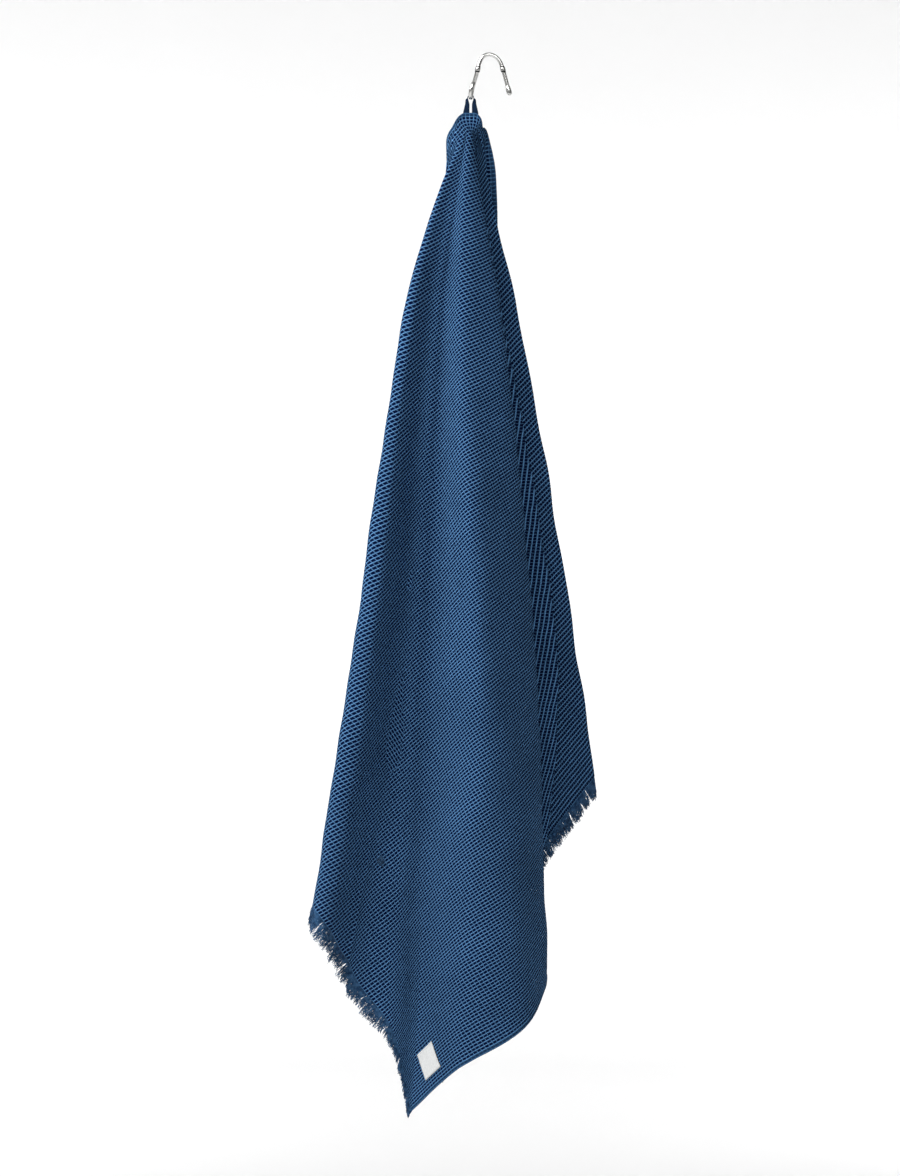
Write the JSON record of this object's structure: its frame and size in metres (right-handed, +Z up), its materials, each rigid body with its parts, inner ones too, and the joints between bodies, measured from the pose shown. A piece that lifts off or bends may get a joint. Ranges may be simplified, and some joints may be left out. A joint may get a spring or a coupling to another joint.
{
  "type": "bath sheet on a hook",
  "caption": "Waffle-weave bath sheet hung by its loop from the middle of one long side on a bent wire hook, in deep uneven folds, with fringed short sides.",
  "frame": {"origin": "inner side of the top of the hook's arch, where the hook rests on its rail", "axes": "+Z up, along the hanging sheet; the side that shows most faces -Y; +X is towards the hook's free leg"},
  "size_m": [0.3513, 0.2605, 1.3191],
  "materials": {
    "blue_waffle_cotton": "matt honeycomb waffle weave",
    "blue_fringe_cotton": "loose cotton threads",
    "navy_tape": "woven tape",
    "woven_label": "smooth woven",
    "polished_steel": "bright polished wire"
  },
  "bodies": {
    "root": {"towel": "blue_waffle_cotton", "fringe_left": "blue_fringe_cotton", "fringe_right": "blue_fringe_cotton", "hanging_loop": "navy_tape", "label": "woven_label", "hook": "polished_steel"}
  },
  "joints": []
}
